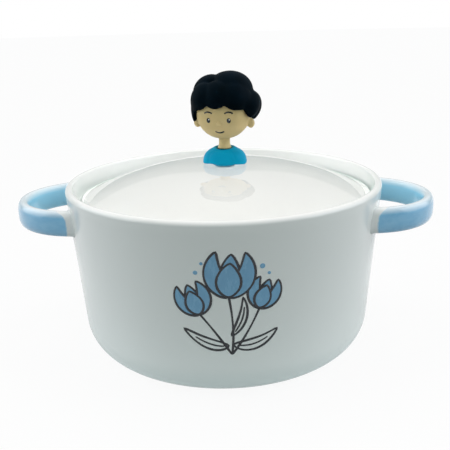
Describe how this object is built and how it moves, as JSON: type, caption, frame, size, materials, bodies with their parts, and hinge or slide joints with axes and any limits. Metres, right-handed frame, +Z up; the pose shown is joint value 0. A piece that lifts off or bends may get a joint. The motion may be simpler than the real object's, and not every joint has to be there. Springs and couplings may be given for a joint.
{
  "type": "lidded bowl",
  "caption": "Round ceramic bowl with ear handles and a domed glass lid, which lifts off by a small moulded doll-bust knob clamped through the glass.",
  "frame": {"origin": "middle of the foot, on the table", "axes": "+Z up, +X through the right handle, the printed front and the doll towards -Y"},
  "size_m": [0.234, 0.175, 0.1552],
  "materials": {
    "porcelain": "white gloss glaze",
    "blue_glaze": "pale blue gloss glaze, bare white at the roots",
    "glass": "clear, polished edge",
    "silicone": "translucent, satin",
    "steel": "plain stainless",
    "shirt": "soft vinyl, teal blue",
    "skin": "soft vinyl, painted face",
    "hair": "soft vinyl, navy black"
  },
  "bodies": {
    "vessel": {"bowl": "porcelain", "handle_left": "blue_glaze", "handle_right": "blue_glaze"},
    "lid": {"lid_glass": "glass", "foot_gasket": "silicone", "under_gasket": "silicone", "clamp_washer": "steel", "clamp_screw": "steel", "knob_nut": "steel", "knob_shirt": "shirt", "knob_head": "skin", "knob_hair": "hair"}
  },
  "joints": [
    {"name": "lid_lift", "type": "slide", "parent": "vessel", "child": "lid", "axis": [0, 0, 1], "range_m": [0, 0.12]}
  ]
}
